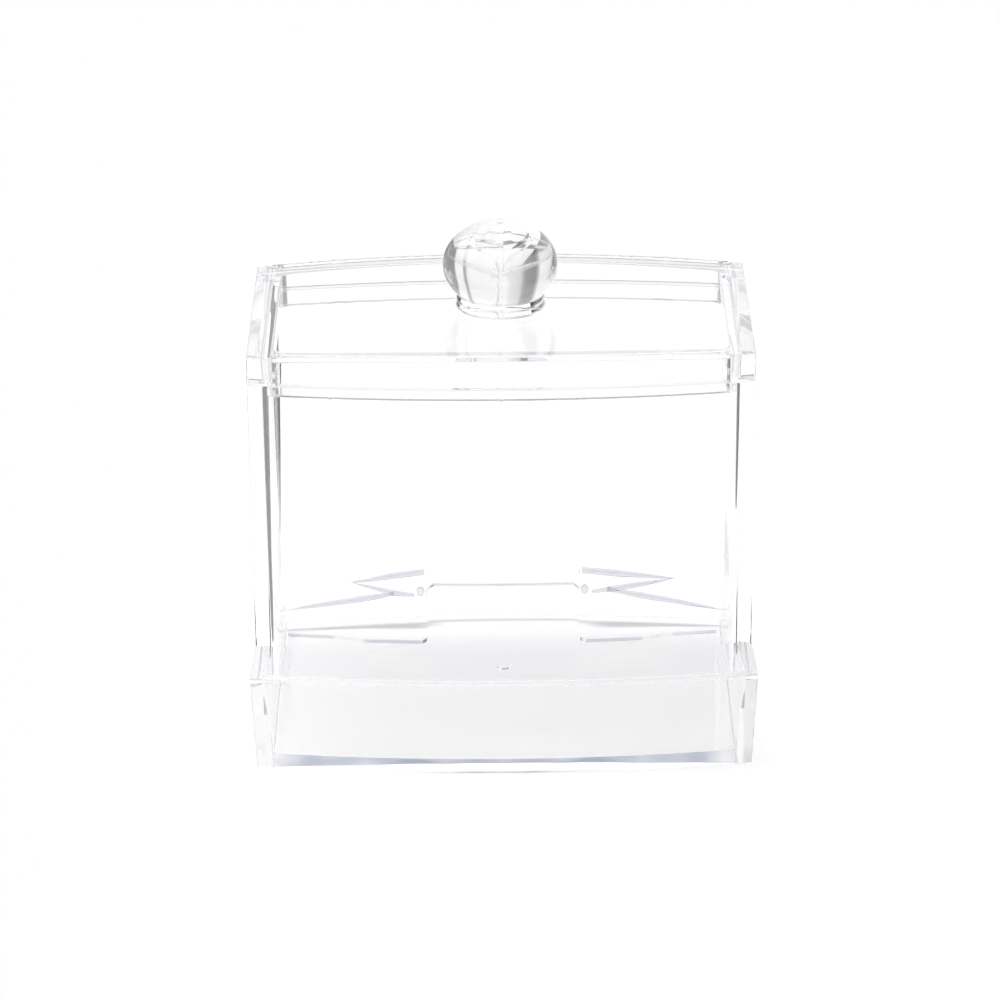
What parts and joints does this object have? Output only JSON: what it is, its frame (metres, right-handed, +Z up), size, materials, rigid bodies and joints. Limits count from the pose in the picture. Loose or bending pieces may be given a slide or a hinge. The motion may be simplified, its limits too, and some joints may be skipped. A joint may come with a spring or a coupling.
{
  "type": "cotton swab holder",
  "caption": "Clear box for cotton swabs with a mouth and finger notch low in its front wall, a shallow tray below and a lift-off lid with a ball knob.",
  "frame": {"origin": "middle of the underside, midway between the tray's front and the back wall", "axes": "+Z up, -Y to the front where the swabs come out, +X to the right seen from the front"},
  "size_m": [0.0936, 0.0656, 0.0944],
  "materials": {
    "clear_acrylic": "clear, polished"
  },
  "bodies": {
    "holder": {"container": "clear_acrylic", "tray": "clear_acrylic"},
    "lid": {"lid": "clear_acrylic"}
  },
  "joints": [
    {"name": "lid_lift", "type": "slide", "parent": "holder", "child": "lid", "axis": [0, 0, 1], "range_m": [0, 0.03]}
  ]
}
